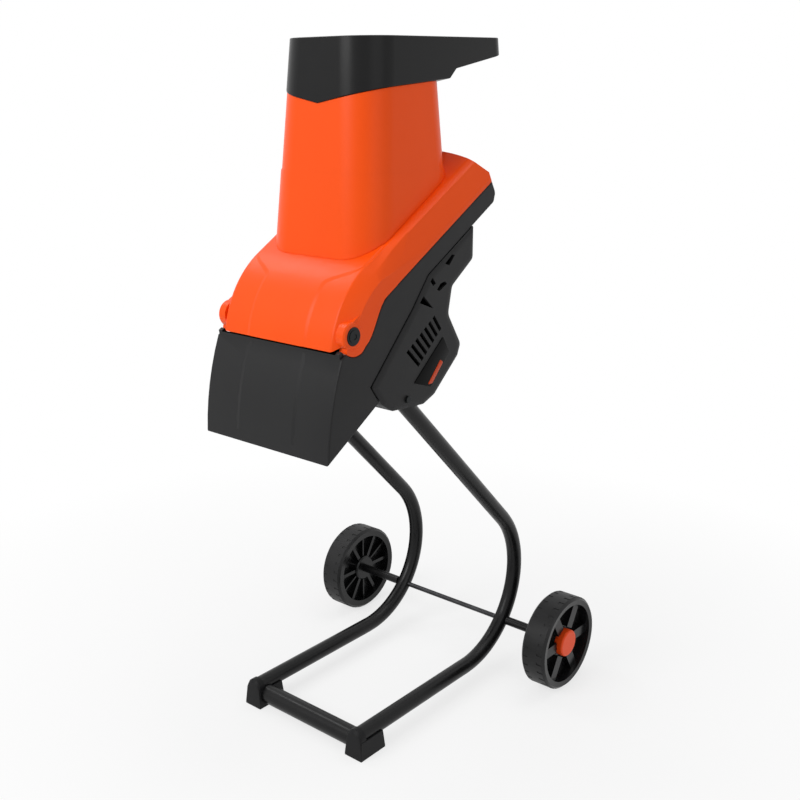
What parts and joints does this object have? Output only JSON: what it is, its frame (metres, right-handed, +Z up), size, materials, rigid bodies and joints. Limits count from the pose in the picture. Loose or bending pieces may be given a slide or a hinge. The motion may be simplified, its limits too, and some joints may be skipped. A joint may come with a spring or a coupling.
{
  "type": "garden shredder",
  "caption": "Electric garden shredder: orange hopper tipping on a dark cutting body, bent-tube stand on two wheels, disc cutter with geared motor inside.",
  "frame": {"origin": "ground plane under the middle of the overall box", "axes": "+Z up, -Y towards the discharge chute (front), +X to the right of someone facing the front"},
  "size_m": [0.472, 0.4916, 0.9897],
  "materials": {
    "black_tube": "gloss black enamel",
    "foot_black": "moulded black",
    "wheel_black": "moulded black",
    "cap_orange": "moulded orange",
    "shell_black": "moulded charcoal black, fine grain",
    "shell_orange": "moulded orange, satin",
    "bolt_black": "black oxide",
    "switch_black": "moulded black",
    "button_red": "moulded red",
    "button_green": "moulded green",
    "cast_grey": "die cast",
    "steel": "machined",
    "iron": "laminated, varnished",
    "disc_grey": "ground",
    "brass": "turned",
    "copper": "copper, wound or turned",
    "carbon": "pressed carbon"
  },
  "bodies": {
    "stand": {"left_leg_tube": "black_tube", "right_leg_tube": "black_tube", "front_crossbar": "black_tube", "left_foot": "foot_black", "right_foot": "foot_black", "axle": "black_tube", "axle_sleeves": "foot_black", "axle_clips": "steel", "leg_screws": "steel", "lower_housing": "shell_black", "motor_housing": "shell_black", "motor_screws": "steel", "hinge_bolts": "bolt_black", "lock_insert": "brass", "safety_switch": "switch_black", "switch_box": "shell_black", "power_inlet": "shell_black", "inlet_pins": "brass", "gear_case_lid": "cast_grey", "gear_case_base": "cast_grey", "spindle_bearing_upper": "steel", "spindle_bearing_lower": "steel", "armature_bearing_upper": "steel", "armature_bearing_lower": "steel", "stator": "iron", "field_coils": "copper", "brush_holders": "brass", "carbon_brushes": "carbon"},
    "left_wheel": {"left_wheel": "wheel_black", "left_hub_cap": "cap_orange"},
    "right_wheel": {"right_wheel": "wheel_black", "right_hub_cap": "cap_orange"},
    "hopper": {"top_cover": "shell_orange", "hopper_column": "shell_orange", "hopper_rim": "shell_black", "counter_blade": "steel", "counter_blade_screws": "steel"},
    "lock_carrier": {"lock_washer": "steel"},
    "lock": {"lock_knob": "shell_black", "lock_screw": "steel"},
    "cutter": {"spindle": "steel", "cutter_disc": "disc_grey", "blades": "steel", "blade_screws": "steel", "disc_bolt": "steel", "drive_gear": "steel"},
    "armature": {"armature_shaft": "steel", "pinion": "steel", "armature_core": "iron", "commutator": "copper", "cooling_fan": "switch_black"},
    "start_button": {"start_button": "button_green"},
    "stop_button": {"stop_button": "button_red"},
    "reset_button": {"reset_button": "switch_black"}
  },
  "joints": [
    {"name": "left_wheel_turn", "type": "hinge", "parent": "stand", "child": "left_wheel", "pos_m": [0, 0.17081, 0.075], "axis": [1, 0, 0], "continuous": true},
    {"name": "right_wheel_turn", "type": "hinge", "parent": "stand", "child": "right_wheel", "pos_m": [0, 0.17081, 0.075], "axis": [1, 0, 0], "continuous": true},
    {"name": "hopper_tip", "type": "hinge", "parent": "stand", "child": "hopper", "pos_m": [0, -0.19644, 0.61965], "axis": [1, 0, 0], "range_deg": [0, 60]},
    {"name": "lock_lift", "type": "slide", "parent": "hopper", "child": "lock_carrier", "axis": [0, -0.5, 0.866], "range_m": [0, 0.009]},
    {"name": "lock_turn", "type": "hinge", "parent": "lock_carrier", "child": "lock", "pos_m": [0, 0.10482, 0.79786], "axis": [0, -0.5, 0.866], "range_deg": [0, 2160]},
    {"name": "cutter_spin", "type": "hinge", "parent": "stand", "child": "cutter", "pos_m": [0, -0.01902, 0.72636], "axis": [0, -0.5, 0.866], "continuous": true},
    {"name": "armature_spin", "type": "hinge", "parent": "stand", "child": "armature", "pos_m": [0, -0.04846, 0.70936], "axis": [0, -0.5, 0.866], "continuous": true},
    {"name": "start_button_press", "type": "slide", "parent": "stand", "child": "start_button", "axis": [0, -1, 0], "range_m": [0, 0.003], "stiffness_N_per_m": 400},
    {"name": "stop_button_press", "type": "slide", "parent": "stand", "child": "stop_button", "axis": [0, -1, 0], "range_m": [0, 0.003], "stiffness_N_per_m": 400},
    {"name": "reset_button_press", "type": "slide", "parent": "stand", "child": "reset_button", "axis": [0, -1, 0], "range_m": [0, 0.003], "stiffness_N_per_m": 400}
  ],
  "couplings": [
    {"joint": "armature_spin", "follows": "cutter_spin", "ratio": -3},
    {"joint": "lock_lift", "follows": "lock_turn", "m_per_rad": 0.00023873}
  ]
}
